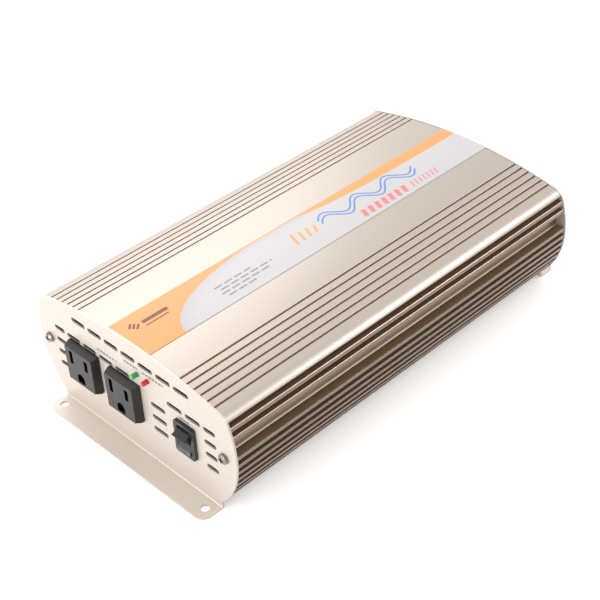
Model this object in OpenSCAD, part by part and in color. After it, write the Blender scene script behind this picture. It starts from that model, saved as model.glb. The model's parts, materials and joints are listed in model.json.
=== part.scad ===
// Desk-sized DC to AC power inverter: two-piece finned aluminium case, bent end plates with mounting
// flanges, two grounded outlets, rocker switch, cooling fan, DC studs and the electronics inside.
// X runs across the case, Y from the front plate to the rear plate, Z up. The origin is the centre of the
// four flange holes, on the surface that the flanges rest on.

/* [Case] */
// Width over the side ribs
case_w = 159; // [150:1:200]
// Height of the crown's middle above the resting surface
case_h = 75.2; // [75:0.1:95]
// Length of the two extrusions
case_len = 265; // [262:1:330]
// Radius of the crowned top
crown_r = 318; // [280:1:500]
// Radius of the long top edges
shoulder_r = 9; // [6:0.5:12]
// Radius of the side above its widest height
side_upper_r = 70; // [60:1:90]
// Radius of the side below its widest height
side_lower_r = 50; // [46:1:60]
// Height at which the case is widest
waist_z = 40; // [36:1:44]
// Height of the underside above the resting surface
base_z = 2; // [1.6:0.1:4]
// Height at which the top and bottom extrusions meet
split_z = 44; // [44:0.5:46]
// Wall behind the ribs
side_wall = 2.5; // [2:0.1:3]
// Roof thickness over the electronics
roof_t = 3.6; // [3:0.1:4]
// Floor thickness under the electronics
floor_t = 3; // [2.5:0.1:3]

/* [Ribs and grooves] */
// Thickness of a side rib
rib_t = 2.1; // [1.5:0.1:2.4]
// Gap between side ribs
rib_gap = 2.9; // [2.4:0.1:3.2]
// Depth of the gaps between ribs
rib_depth = 4; // [3:0.1:4.5]
// Ribs on each side of the bottom extrusion
lower_ribs = 6; // [3:1:7]
// Radius of the long channel over the seam
channel_r = 7; // [6:0.1:7.5]
// Height of the channel's mouth
channel_h = 10; // [8:0.5:11]
// Grooves on each side of the top
groove_count = 6; // [3:1:7]
// Distance between grooves
groove_pitch = 4.9; // [4:0.1:5]
// Distance from the middle to the first groove
groove_first = 40.9; // [38:0.1:42]
// Groove width
groove_w = 1.1; // [1:0.1:2]
// Groove depth
groove_d = 1.5; // [1:0.1:2]

/* [End plates] */
// Sheet thickness of the end plates
plate_t = 1.2; // [1:0.1:2]
// How far the plate stands past the ribs all round
plate_rim = 0.3; // [0.1:0.1:0.5]
// Depth of a mounting flange in front of its plate
flange_d = 14; // [13:0.5:22]
// How far each end of the flange stops short of the case's side
flange_inset = 14.2; // [12:0.1:18]
// Corner radius of a flange
flange_corner_r = 6; // [2:0.5:6]
// Diameter of the mounting holes
flange_hole_d = 5; // [4:0.1:6]
// Mounting hole centre in front of its plate
flange_hole_out = 6.5; // [6:0.1:8]
// Mounting hole centre in from the flange's end
flange_hole_in = 6.3; // [5:0.1:9]
// Inside bend radius
bend_r = 0.5; // [0.4:0.1:1.2]
// Height of the corner notches beside the bend
notch_z = 5.5; // [4:0.1:7]
// Plate screw centre in from the case's side
boss_in = 8.6; // [8:0.1:9]
// Height of the plate screws
boss_z = 39.4; // [38.8:0.1:39.6]
// Diameter of the plate screws
plate_screw_d = 3.5; // [3:0.1:3.8]
// Head diameter of the plate screws
plate_screw_head_d = 6; // [5.6:0.1:7]

/* [Vent slots] */
// Length of a long slot
slot_l = 11.4; // [8:0.1:12]
// Length of a short slot
short_slot_l = 8.8; // [6:0.1:9]
// Slot width
slot_w = 3; // [1.5:0.1:3.2]
// Offset of the slot rows from the middle
slot_x = 0.4; // [-1:0.1:1]
// Distance between slots in a row
slot_pitch = 13.76; // [13:0.01:15]
// Distance of the top row below the crown
top_row_drop = 10.7; // [9:0.1:12]
// Height of the second row
second_row_z = 50.4; // [50:0.1:52]
// Distance between the lower rows
row_pitch = 8.3; // [7:0.1:8.5]

/* [Outlets] */
// Middle of the left outlet
outlet_left_x = -38.8; // [-42:0.1:-38]
// Middle of the right outlet
outlet_right_x = -4.8; // [-6:0.1:-4]
// Height of the outlets' middle
outlet_z = 36.8; // [36:0.1:38]
// Width and height of an outlet's rim
outlet_rim_w = 25; // [24:0.1:28]
// Thickness of the rim's straight edge
outlet_rim_t = 1.6; // [1:0.1:2.5]
// Width and height of an outlet's face
outlet_face_w = 22.6; // [22:0.1:24]
// How far the face stands out of the plate
outlet_proud = 5.2; // [4:0.1:6]
// Width and height of the body behind the plate
outlet_body_w = 21.6; // [21:0.1:23]
// Depth of the body behind the plate's face
outlet_body_d = 21; // [18:0.5:24]
// Distance between the two blade slots
blade_spacing = 12.7; // [12.7:0.1:12.7]
// Distance from the blade slots down to the earth hole
earth_drop = 11.9; // [11.9:0.1:11.9]
// Height of the blade slots above the outlet's middle
blade_rise = 5.2; // [4.5:0.1:5.5]
// Width of a blade slot
blade_slot_w = 2.9; // [1.9:0.1:3.2]
// Height of the neutral slot
neutral_slot_h = 8.7; // [8:0.1:9]
// Height of the live slot
live_slot_h = 7.2; // [6.8:0.1:7.6]
// Diameter of the earth hole
earth_hole_d = 6.3; // [5.2:0.1:6.4]

/* [Rocker switch] */
// Middle of the switch
switch_x = 42.4; // [42:0.1:45]
// Height of the switch's middle
switch_z = 34.3; // [34:0.1:35]
// Width of the bezel
bezel_w = 15; // [14.8:0.1:16]
// Height of the bezel
bezel_h = 21; // [20.5:0.1:23]
// Thickness of the bezel
bezel_t = 2; // [1.5:0.1:2.2]
// Width of the rocker
rocker_w = 9.6; // [9:0.1:9.6]
// Distance from the rocker's pivot to its raised edge
rocker_r = 10.1; // [9.5:0.1:10.2]
// Angle of the raised edge from the rocker's middle line
rocker_edge_angle = 37; // [35:0.5:37]
// Tilt of the rocker to each side
rocker_tilt = 12.5; // [10:0.5:13]
// Depth of the pivot behind the plate's face
rocker_pivot_d = 3; // [2.8:0.1:3.2]
// Diameter of the rocker's pivot pins
rocker_pin_d = 2.4; // [2:0.1:2.6]
// Tilt of the contact arm to each side
arm_tilt = 8; // [6:0.5:8]

/* [Lamps] */
// Position of the green lamp across the plate
led_green_x = 6.4; // [6:0.1:8]
// Position of the red lamp across the plate
led_red_x = 14.8; // [13:0.1:16]
// Height of the lamps
led_z = 56.4; // [55:0.1:57]
// Diameter of a lamp
led_d = 3; // [3:0.1:3.6]
// How far a lamp stands out of the plate
led_proud = 4; // [3:0.1:5]

/* [Fan] */
// Width and height of the fan frame
fan_w = 60; // [60:1:60]
// Depth of the fan frame
fan_d = 25; // [20:1:25]
// Middle of the fan
fan_x = -25; // [-26:0.5:-20]
// Height of the fan's middle
fan_z = 36; // [36:0.1:38]
// Diameter of the fan's opening
fan_bore_d = 57; // [55:0.5:57]
// Distance between the fan's screws
fan_screw_pitch = 50; // [50:1:50]
// Number of blades
fan_blades = 7; // [5:1:9]
// Diameter over the blades
fan_rotor_d = 54; // [50:0.5:55]
// Diameter of the hub
fan_hub_d = 28; // [24:1:30]

/* [DC terminals] */
// Position of the positive stud
positive_x = 24; // [22:0.5:26]
// Position of the negative stud
negative_x = 50; // [48:0.5:52]
// Height of the studs
stud_z = 40; // [36:0.5:44]
// Stud diameter
stud_d = 8; // [6:0.5:8]
// How far a stud stands out of the rear plate
stud_out = 24; // [22:0.5:30]
// Diameter of a terminal's coloured base
terminal_base_d = 22; // [20:0.5:24]
// Thickness of a terminal's coloured base
terminal_base_t = 5; // [4:0.5:6]
// Position of the earth screw across the plate
earth_x = 37; // [34:0.5:40]
// Height of the earth screw
earth_z = 15; // [14:0.5:18]

/* [Label] */
// Width of the top label
label_w = 33; // [25:0.5:60]
// Offset of the label from the middle
label_x = 1.7; // [-2:0.1:2]
// Thickness of the label
label_t = 0.3; // [0.2:0.05:0.4]

/* [Electronics] */
// Height of the board above the case floor
board_rise = 6; // [5:0.5:7]
// Board thickness
board_t = 1.6; // [1.6:0.1:2]
// Space between the board and the side walls
board_side_gap = 2; // [1.5:0.5:6]
// Space between the board and the front plate
board_front_gap = 10; // [8:1:14]
// Space between the board and the fan
board_fan_gap = 7; // [6:1:12]
// Distance between the transformers
transformer_pitch = 42; // [38:1:44]
// Devices along each heat bar
mosfet_count = 8; // [4:1:8]

/* [Hidden] */
$fn = 48;

// Clearances
running_fit = 0.05;
screw_fit = 0.05;
cutout_fit = 0.2;
rocker_fit = 0.2;
tongue_fit = 0.15;
snap_gap = 0.1;
far = 200;

// Places along Y
half_w = case_w / 2;
plate_in = case_len / 2;
plate_out = plate_in + plate_t;
flange_end = plate_out + flange_d;
flange_half = half_w - flange_inset;
hole_x = flange_half - flange_hole_in;
hole_y = plate_out + flange_hole_out;

// Cross-section
crown_c = [0, case_h - crown_r];
upper_c = [half_w - side_upper_r, waist_z];
lower_c = [half_w - side_lower_r, waist_z];
boss_x = half_w - boss_in;
boss_r = 4.2;
tongue_w = 1.4;
tongue_h = 1.6;
tongue_x = half_w - channel_r - side_wall + 1.8;
rib2_z = split_z + channel_h;
shoulder_z = rib2_z + 2 * (rib_t + rib_gap);
channel_z = split_z + channel_h / 2;
cavity_z = base_z + floor_t;
board_z = cavity_z + board_rise;
board_top = board_z + board_t;

function polar(c, r, a) = [c[0] + r * cos(a), c[1] + r * sin(a)];
function arc(c, r, a, b, n) = [for (i = [0 : n]) polar(c, r, a + (b - a) * i / n)];
function bearing(a, b) = atan2(b[1] - a[1], b[0] - a[0]);
// The crossing of two circles that lies to the left of the way from the first centre to the second
function crossing(p, rp, q, rq) =
    let (d = norm(q - p), a = (rp * rp - rq * rq + d * d) / (2 * d), h = sqrt(rp * rp - a * a),
         u = (q - p) / d)
    p + a * u + h * [-u[1], u[0]];
shoulder_c = crossing(upper_c, side_upper_r - shoulder_r, crown_c, crown_r - shoulder_r);
crown_end_a = bearing(crown_c, shoulder_c);
shoulder_end_a = bearing(upper_c, shoulder_c);
lower_end_a = asin((base_z - waist_z) / side_lower_r);
skin = rib_depth + side_wall;
cavity_corner = crossing(upper_c, side_upper_r - skin, crown_c, crown_r - roof_t);
// Half-width at height z of the case, less an even skin of thickness g
function side_x(z, g = 0) = z > waist_z ? upper_c[0] + sqrt(pow(side_upper_r - g, 2) - pow(z - waist_z, 2))
    : lower_c[0] + sqrt(pow(side_lower_r - g, 2) - pow(z - waist_z, 2));

// Places of the fan and the board
fan_front_y = plate_in - fan_d;
board_back_y = fan_front_y - board_fan_gap;
board_front_y = -plate_in + board_front_gap;
board_len = board_back_y - board_front_y;
board_mid_y = (board_back_y + board_front_y) / 2;
board_half_w = side_x(board_z, skin) - board_side_gap;
sheet_half_w = side_x(cavity_z, skin) - 1;
bar_w = 12;
bar_screw_gap = 4.1;
board_hole_x = negative_x - bar_w / 2 - bar_screw_gap;
board_hole_ys = [for (i = [-1 : 1]) board_mid_y + i * (board_len / 2 - 8)];

function mirrored(points) = concat(points,
    [for (i = [len(points) - 1 : -1 : 0]) [-points[i][0], points[i][1]]]);

// Right half of the case's outline from the crown down, grown outwards by g
function half_outline(g) = concat(
    arc(crown_c, crown_r + g, 90, crown_end_a, 12),
    arc(shoulder_c, shoulder_r + g, crown_end_a, shoulder_end_a, 10),
    arc(upper_c, side_upper_r + g, shoulder_end_a, 0, 8),
    arc(lower_c, side_lower_r + g, 0, lower_end_a, 14));

module outline(g = 0) {
    polygon(mirrored(half_outline(g)));
}

module both_sides() {
    children();
    mirror([1, 0]) children();
}

// Space inside the case, less the children
module cavity_around() {
    difference() {
        polygon(mirrored(concat(
            arc(crown_c, crown_r - roof_t, 90, bearing(crown_c, cavity_corner), 12),
            arc(upper_c, side_upper_r - skin, bearing(upper_c, cavity_corner), 0, 8),
            arc(lower_c, side_lower_r - skin, 0, asin((cavity_z - waist_z) / (side_lower_r - skin)), 14))));
        children();
    }
}

// One gap between ribs, from height z up by h, cut rib_depth deep
module rib_slot(z, h) {
    x0 = side_x(z) - rib_depth;
    x1 = side_x(z + h) - rib_depth;
    polygon([[x0, z], [half_w + 5, z], [half_w + 5, z + h], [x1, z + h]]);
}

module channel_circle(r) {
    translate([side_x(channel_z), channel_z]) circle(r = r, $fn = 96);
}

// The tongue under the top extrusion's foot, grown by g, which stands in a groove in the bottom extrusion
module tongue(g = 0) {
    translate([tongue_x - g, split_z - tongue_h - g]) square([tongue_w + 2 * g, 2 * tongue_h]);
}

module top_section() {
    difference() {
        outline();
        difference() {
            translate([-far, split_z - far]) square([2 * far, far]);
            both_sides() tongue();
        }
        cavity_around() both_sides() {
            channel_circle(channel_r + side_wall);
            tongue();
        }
        both_sides() for (i = [0 : groove_count - 1]) {
            x = groove_first + i * groove_pitch;
            z = crown_c[1] + sqrt(pow(crown_r, 2) - x * x) - groove_d;
            translate([x - groove_w / 2, z]) square([groove_w, 2 * groove_d]);
        }
        both_sides() for (i = [0 : 1]) rib_slot(rib2_z + rib_t + i * (rib_t + rib_gap), rib_gap);
        both_sides() intersection() {
            channel_circle(channel_r);
            translate([0, split_z - 1]) square([half_w + channel_r, channel_h + 1]);
        }
    }
}

module boss_block() {
    translate([boss_x, boss_z]) circle(r = boss_r);
    translate([boss_x - boss_r, boss_z]) square([2 * boss_r, split_z]);
}

module bottom_section() {
    difference() {
        outline();
        translate([-far, split_z]) square([2 * far, far]);
        cavity_around() both_sides() boss_block();
        both_sides() for (i = [0 : lower_ribs - 1])
            rib_slot(split_z - rib_t - rib_gap - i * (rib_t + rib_gap), rib_gap);
        both_sides() translate([boss_x, boss_z]) circle(d = plate_screw_d + 2 * screw_fit);
        both_sides() tongue(tongue_fit);
    }
}

// Stands a drawing in X and Z up, and makes it length long from y
module along_y(y, length) {
    translate([0, y + length, 0]) rotate([90, 0, 0]) linear_extrude(length) children();
}

// A cylinder along Y from y, at (x, z)
module rod_y(x, y, z, d, length) {
    translate([x, y + length, z]) rotate([90, 0, 0]) cylinder(d = d, h = length);
}

module top_shell() {
    color("wheat") along_y(-plate_in, case_len) top_section();
}

spacer_d = 6;
board_screw_d = 2.8;
board_screw_bite = 2.5;

module each_board_hole() {
    for (sx = [-1, 1]) for (y = board_hole_ys) translate([sx * board_hole_x, y, 0]) children();
}

module bottom_shell() {
    color("tan") difference() {
        along_y(-plate_in, case_len) bottom_section();
        each_board_hole() translate([0, 0, cavity_z - board_screw_bite])
            cylinder(d = board_screw_d + 2 * screw_fit, h = floor_t);
    }
}

// End plates -------------------------------------------------------------------------------------------

module plate_outline() {
    intersection() {
        outline(plate_rim);
        translate([-far, notch_z]) square([2 * far, far]);
    }
    translate([-flange_half, plate_t + bend_r]) square([2 * flange_half, notch_z]);
}

// A sheet bent at the foot: the plate stands on the side towards the case, the flange runs outwards
module bent_plate() {
    along_y(-plate_out, plate_t) plate_outline();
    translate([-flange_half, 0, 0]) rotate([90, 0, 90]) linear_extrude(2 * flange_half) difference() {
        translate([-plate_out - bend_r, plate_t + bend_r]) intersection() {
            circle(r = bend_r + plate_t);
            translate([0, -far]) square([far, far]);
        }
        translate([-plate_out - bend_r, plate_t + bend_r]) circle(r = bend_r);
    }
    linear_extrude(plate_t) difference() {
        union() {
            translate([-flange_half, -flange_end + flange_corner_r])
                square([2 * flange_half, flange_d - flange_corner_r - bend_r]);
            translate([-flange_half + flange_corner_r, -flange_end])
                square([2 * (flange_half - flange_corner_r), 2 * flange_corner_r]);
            for (s = [-1, 1])
                translate([s * (flange_half - flange_corner_r), -flange_end + flange_corner_r])
                    circle(r = flange_corner_r);
        }
        for (s = [-1, 1]) translate([s * hole_x, -hole_y]) circle(d = flange_hole_d);
    }
}

// A level slot with round ends
module slot(x, z, length) {
    translate([x, z]) {
        square([length - slot_w, slot_w], center = true);
        for (s = [-1, 1]) translate([s * (length - slot_w) / 2, 0]) circle(d = slot_w);
    }
}

module vent_slots() {
    translate([slot_x, 0]) {
        for (i = [-3 : 3]) slot(i * slot_pitch, case_h - top_row_drop, slot_l);
        for (i = [-4 : -1]) slot((i + 0.5) * slot_pitch, second_row_z, slot_l);
        for (i = [2 : 3]) slot((i + 0.5) * slot_pitch, second_row_z, slot_l);
        for (row = [1 : 3]) slot(1.5 * slot_pitch, second_row_z - row * row_pitch, slot_l);
        for (row = [0 : 3]) for (s = [-1, 1])
            slot(s * 4.4 * slot_pitch, second_row_z - row * row_pitch, short_slot_l);
    }
}

switch_body_w = bezel_w - 2.2;
switch_body_h = bezel_h - 2.2;

module front_cutouts() {
    vent_slots();
    for (x = [outlet_left_x, outlet_right_x]) translate([x, outlet_z])
        square(outlet_body_w + 2 * cutout_fit, center = true);
    translate([switch_x, switch_z])
        square([switch_body_w + 2 * cutout_fit, switch_body_h + 2 * cutout_fit], center = true);
    for (x = [led_green_x, led_red_x]) translate([x, led_z]) circle(d = led_d + cutout_fit);
}

module plate_screw_holes() {
    for (s = [-1, 1]) translate([s * boss_x, boss_z]) circle(d = plate_screw_d + 2 * cutout_fit);
}

module front_plate() {
    color("antiquewhite") difference() {
        bent_plate();
        along_y(-plate_out - 1, plate_t + 2) {
            front_cutouts();
            plate_screw_holes();
        }
    }
}

terminal_neck_d = stud_d + 4;
rear_slot_rise = 18;
earth_d = 4;
fan_screw_d = 4;
fan_screw_head_d = 7.4;
fan_screw_head_h = 2.6;
fan_screw_l = 18;

module each_fan_corner() {
    for (sx = [-1, 1]) for (sz = [-1, 1])
        translate([fan_x + sx * fan_screw_pitch / 2, 0, fan_z + sz * fan_screw_pitch / 2]) children();
}

// The rear plate is the same bent sheet turned to face backwards, with the fan's and the studs' holes
module rear_plate() {
    color("antiquewhite") difference() {
        rotate([0, 0, 180]) bent_plate();
        along_y(plate_in - 1, plate_t + 2) {
            plate_screw_holes();
            translate([fan_x, fan_z]) circle(d = fan_bore_d - 1);
            for (x = [positive_x, negative_x]) translate([x, stud_z])
                circle(d = terminal_neck_d + cutout_fit);
            translate([earth_x, earth_z]) circle(d = earth_d + 2 * cutout_fit);
            for (i = [-1 : 1]) slot(earth_x + i * slot_pitch, stud_z + rear_slot_rise, slot_l);
        }
        each_fan_corner() rod_y(0, plate_in - 1, 0, fan_screw_d + 2 * cutout_fit, plate_t + 2);
    }
}

// A pan-head cross screw along Y: its head's seat at y = 0, its head towards -Y
module pan_screw(d, head_d, head_h, length) {
    difference() {
        union() {
            rotate([-90, 0, 0]) cylinder(d = d, h = length);
            rotate([90, 0, 0]) cylinder(d = head_d, h = head_h * 0.6);
            translate([0, -head_h * 0.6, 0]) rotate([90, 0, 0])
                cylinder(d1 = head_d, d2 = head_d * 0.62, h = head_h * 0.4);
        }
        for (a = [0, 90]) translate([0, -head_h, 0]) rotate([0, a, 0])
            cube([head_d * 0.55, head_h, head_d * 0.14], center = true);
    }
}

plate_screw_l = 14;
plate_screw_head_h = 2.4;

module end_plate_screws() {
    color("silver") for (turn = [0, 180]) rotate([0, 0, turn]) for (s = [-1, 1])
        translate([s * boss_x, -plate_out, boss_z])
            pan_screw(plate_screw_d, plate_screw_head_d, plate_screw_head_h, plate_screw_l);
}

module top_label() {
    color("lavender") along_y(-plate_in, case_len) intersection() {
        difference() {
            outline(label_t);
            outline();
        }
        translate([label_x - label_w / 2, waist_z]) square([label_w, case_h]);
    }
}

// Outlets ----------------------------------------------------------------------------------------------

outlet_corner_r = 0.8;

module soft_square(w, r) {
    square([w, w - 2 * r], center = true);
    square([w - 2 * r, w], center = true);
    for (sx = [-1, 1]) for (sz = [-1, 1])
        translate([sx * (w / 2 - r), sz * (w / 2 - r)]) circle(r = r, $fn = 16);
}

module earth_hole() {
    translate([0, blade_rise - earth_drop]) {
        circle(d = earth_hole_d);
        translate([-earth_hole_d / 2, -earth_hole_d / 2]) square([earth_hole_d, earth_hole_d / 2]);
    }
}

module outlet_slots() {
    translate([-blade_spacing / 2, blade_rise]) square([blade_slot_w, neutral_slot_h], center = true);
    translate([blade_spacing / 2, blade_rise]) square([blade_slot_w, live_slot_h], center = true);
    earth_hole();
}

outlet_socket_d = 16;
latch_w = 6;
latch_h = 1.2;
latch_d = 4;

// One grounded outlet about its own middle, with the plate's outer face at y = 0
module outlet() {
    difference() {
        union() {
            hull() {
                along_y(-outlet_proud, 0.01) soft_square(outlet_face_w, outlet_corner_r);
                along_y(-outlet_rim_t, 0.01) soft_square(outlet_rim_w, outlet_corner_r);
            }
            along_y(-outlet_rim_t, outlet_rim_t) soft_square(outlet_rim_w, outlet_corner_r);
            along_y(-0.01, outlet_body_d + 0.01) soft_square(outlet_body_w, outlet_corner_r);
            for (s = [-1, 1]) translate([-latch_w / 2, plate_t + snap_gap, s * outlet_body_w / 2 - latch_h])
                cube([latch_w, latch_d, 2 * latch_h]);
        }
        along_y(-outlet_proud - 1, outlet_socket_d + 1) outlet_slots();
    }
}

module outlet_left() {
    color("dimgray") translate([outlet_left_x, -plate_out, outlet_z]) outlet();
}

module outlet_right() {
    color("dimgray") translate([outlet_right_x, -plate_out, outlet_z]) outlet();
}

tab_t = 0.8;
tab_w = 4.8;
tab_l = 7;

// The three solder tabs on the back of an outlet
module outlet_contacts() {
    translate([0, outlet_body_d, 0]) {
        for (s = [-1, 1]) translate([s * blade_spacing / 2 - tab_t / 2, 0, blade_rise - tab_w / 2])
            cube([tab_t, tab_l, tab_w]);
        translate([-tab_w / 2, 0, blade_rise - earth_drop - tab_t / 2]) cube([tab_w, tab_l, tab_t]);
    }
}

module outlet_left_contacts() {
    color("gold") translate([outlet_left_x, -plate_out, outlet_z]) outlet_contacts();
}

module outlet_right_contacts() {
    color("gold") translate([outlet_right_x, -plate_out, outlet_z]) outlet_contacts();
}

// Rocker switch ----------------------------------------------------------------------------------------

switch_body_d = 14;
switch_back_t = 2;
switch_corner_r = 1.5;
rocker_room_w = rocker_w + 2 * rocker_fit;
rocker_room_h = 16.4;
rocker_body_h = 14;
rocker_depth = 2;
pusher_r = 0.6;
pusher_w = 3;
pusher_reach = 5.2;
arm_t = 0.8;
arm_w = 5;
arm_l = 11;
arm_fulcrum_d = 10.2;
arm_gap = 0.1;
rocker_y = -plate_out + rocker_pivot_d;
arm_y = -plate_out + arm_fulcrum_d;

module soft_rect(w, h, r) {
    square([w, h - 2 * r], center = true);
    square([w - 2 * r, h], center = true);
    for (sx = [-1, 1]) for (sz = [-1, 1])
        translate([sx * (w / 2 - r), sz * (h / 2 - r)]) circle(r = r, $fn = 32);
}

module tab_slots() {
    for (z = [0, -arm_l / 2 + 0.5]) translate([0, z])
        square([tab_w + 2 * snap_gap, tab_t + 2 * snap_gap], center = true);
}

module switch_housing() {
    color("black") translate([switch_x, -plate_out, switch_z]) difference() {
        union() {
            along_y(-bezel_t, bezel_t) soft_rect(bezel_w, bezel_h, switch_corner_r);
            along_y(0, switch_body_d) square([switch_body_w, switch_body_h], center = true);
        }
        along_y(-bezel_t - 1, bezel_t + 1 + switch_body_d - switch_back_t)
            square([rocker_room_w, rocker_room_h], center = true);
        translate([-bezel_w, rocker_pivot_d, 0]) rotate([0, 90, 0])
            cylinder(d = rocker_pin_d + 2 * running_fit, h = 2 * bezel_w);
        along_y(switch_body_d - switch_back_t - 1, switch_back_t + 2) tab_slots();
    }
}

// The rocker seen from its end, about its pivot: u points out of the plate, v points up
rocker_edge_u = rocker_r * cos(rocker_edge_angle);
rocker_edge_v = rocker_r * sin(rocker_edge_angle);
rocker_dip = 2.9;
rocker_dip_r = (pow(rocker_edge_v, 2) + pow(rocker_dip, 2)) / (2 * rocker_dip);

module rocker_profile() {
    difference() {
        polygon([[-rocker_depth, -rocker_body_h / 2 + 1.5], [1, -rocker_body_h / 2],
                 [3, -rocker_body_h / 2], [rocker_edge_u, -rocker_edge_v],
                 [rocker_edge_u, rocker_edge_v], [3, rocker_body_h / 2],
                 [1, rocker_body_h / 2], [-rocker_depth, rocker_body_h / 2 - 1.5]]);
        translate([rocker_edge_u - rocker_dip + rocker_dip_r, 0]) circle(r = rocker_dip_r, $fn = 96);
    }
}

module switch_rocker() {
    color("black") translate([switch_x, rocker_y, switch_z]) rotate([rocker_tilt, 0, 0]) {
        translate([rocker_w / 2, 0, 0]) rotate([90, 0, -90]) linear_extrude(rocker_w) rocker_profile();
        rotate([0, 90, 0]) cylinder(d = rocker_pin_d, h = switch_body_w - 0.4, center = true);
        translate([0, pusher_reach, 0]) rotate([0, 90, 0])
            cylinder(r = pusher_r, h = pusher_w, center = true);
        translate([-pusher_w / 2, rocker_depth - 0.5, -pusher_r])
            cube([pusher_w, pusher_reach - rocker_depth + 0.5, 2 * pusher_r]);
    }
}

module switch_contact_arm() {
    color("goldenrod") translate([switch_x, arm_y, switch_z]) rotate([-arm_tilt, 0, 0])
        translate([-arm_w / 2, -arm_t, -arm_l / 2]) cube([arm_w, arm_t, arm_l]);
}

module switch_terminals() {
    tail = switch_body_d + tab_l - arm_fulcrum_d;
    color("silver") translate([switch_x - tab_w / 2, arm_y, switch_z]) {
        translate([0, arm_gap, -tab_t / 2]) cube([tab_w, tail - arm_gap, tab_t]);
        translate([0, (arm_l / 2 - 0.5) * sin(arm_tilt) + arm_gap, -arm_l / 2 + 0.5 - tab_t / 2])
            cube([tab_w, tail - 1, tab_t]);
    }
}

// Lamps ------------------------------------------------------------------------------------------------

led_flange_t = 1;
led_board_y = -plate_in + 8;
led_board_t = 1.6;
led_lead_d = 0.5;
led_lead_gap = 2.54;

// One lamp about its own axis, with the plate's outer face at y = 0
module led() {
    translate([0, -led_proud + led_d / 2, 0]) sphere(d = led_d, $fn = 32);
    rod_y(0, -led_proud + led_d / 2, 0, led_d, led_proud - led_d / 2 + plate_t + led_flange_t);
    rod_y(0, plate_t, 0, led_d + 0.8, led_flange_t);
    for (s = [-1, 1])
        rod_y(s * led_lead_gap / 2, plate_t, 0, led_lead_d, led_board_y + plate_in + led_board_t + 1);
}

module led_green() {
    color("limegreen") translate([led_green_x, -plate_out, led_z]) led();
}

module led_red() {
    color("red") translate([led_red_x, -plate_out, led_z]) led();
}

module led_board() {
    mid = (led_green_x + led_red_x) / 2;
    color("darkgreen") difference() {
        translate([mid - 10, led_board_y, led_z - 5]) cube([20, led_board_t, 10]);
        for (x = [led_green_x, led_red_x]) for (s = [-1, 1])
            rod_y(x + s * led_lead_gap / 2, led_board_y - 1, led_z, led_lead_d + 0.1, led_board_t + 2);
    }
}

// Fan --------------------------------------------------------------------------------------------------

motor_base_t = 3;
fan_shaft_d = 3;
hub_y = fan_front_y + 2;
hub_l = fan_d - motor_base_t - 3;
strut_w = 4;
blade_pitch = 42;
blade_t = 1.6;

module fan_frame() {
    color("black") translate([fan_x, 0, fan_z]) difference() {
        union() {
            difference() {
                along_y(fan_front_y, fan_d) soft_square(fan_w, 3);
                rod_y(0, fan_front_y - 1, 0, fan_bore_d, fan_d + 2);
            }
            intersection() {
                translate([0, plate_in - motor_base_t / 2, 0]) for (a = [15 : 60 : 135])
                    rotate([0, a, 0]) cube([fan_bore_d + 2, motor_base_t, strut_w], center = true);
                rod_y(0, fan_front_y, 0, fan_bore_d + 1, fan_d);
            }
            rod_y(0, plate_in - motor_base_t, 0, fan_hub_d, motor_base_t);
        }
        rod_y(0, fan_front_y, 0, fan_shaft_d + 2 * running_fit, fan_d + 1);
        for (sx = [-1, 1]) for (sz = [-1, 1])
            rod_y(sx * fan_screw_pitch / 2, fan_front_y - 1, sz * fan_screw_pitch / 2,
                  fan_screw_d + 2 * screw_fit, fan_d + 2);
    }
}

module fan_rotor() {
    color("dimgray") translate([fan_x, 0, fan_z]) {
        rod_y(0, hub_y, 0, fan_hub_d, hub_l);
        rod_y(0, hub_y + 1, 0, fan_shaft_d, plate_in - 0.5 - hub_y - 1);
        intersection() {
            rod_y(0, hub_y, 0, fan_rotor_d, hub_l);
            for (i = [0 : fan_blades - 1]) rotate([0, i * 360 / fan_blades, 0])
                translate([fan_hub_d / 2 - 1, hub_y + hub_l / 2, 0]) rotate([-blade_pitch, 0, 0])
                    translate([0, -hub_l, -blade_t / 2]) cube([fan_rotor_d / 2, 2 * hub_l, blade_t]);
        }
    }
}

guard_wire_d = 1.6;
guard_rings = [10, 16, 22, 28];
guard_loop_r = fan_screw_d / 2 + guard_wire_d / 2 + 0.3;

module wire_ring(r) {
    rotate([90, 0, 0]) rotate_extrude() translate([r, 0]) circle(d = guard_wire_d, $fn = 24);
}

module fan_guard() {
    arm = fan_screw_pitch / sqrt(2) - guard_loop_r;
    color("silver") translate([fan_x, plate_out + guard_wire_d / 2, fan_z]) {
        for (a = [45, 135]) rotate([0, a, 0]) rotate([0, 90, 0])
            cylinder(d = guard_wire_d, h = 2 * arm, center = true);
        for (r = guard_rings) translate([0, guard_wire_d * 0.7, 0]) wire_ring(r);
        for (sx = [-1, 1]) for (sz = [-1, 1])
            translate([sx * fan_screw_pitch / 2, 0, sz * fan_screw_pitch / 2]) wire_ring(guard_loop_r);
    }
}

module fan_screws() {
    color("silver") each_fan_corner() translate([0, plate_out + guard_wire_d, 0]) rotate([0, 0, 180])
        pan_screw(fan_screw_d, fan_screw_head_d, fan_screw_head_h, fan_screw_l);
}

// DC terminals -----------------------------------------------------------------------------------------

terminal_inner_t = 2.5;
collar_t = 3;
nut_w = 13;
nut_t = 6;
washer_d = 16;
washer_t = 1.6;
bar_t = 2;
stud_in = 16;
collar_y = plate_out + terminal_base_t;
outer_washer_y = collar_y + collar_t;

module terminal_base(x) {
    difference() {
        union() {
            rod_y(x, plate_out, stud_z, terminal_base_d, terminal_base_t);
            rod_y(x, plate_in - 0.5, stud_z, terminal_neck_d, plate_t + 1);
        }
        rod_y(x, plate_in - 2, stud_z, stud_d + 2 * running_fit, plate_t + terminal_base_t + 4);
    }
}

module positive_base() {
    color("red") terminal_base(positive_x);
}

module negative_base() {
    color("black") terminal_base(negative_x);
}

stud_tip_d = stud_d - 1.4;
stud_tip_l = 7;

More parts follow.
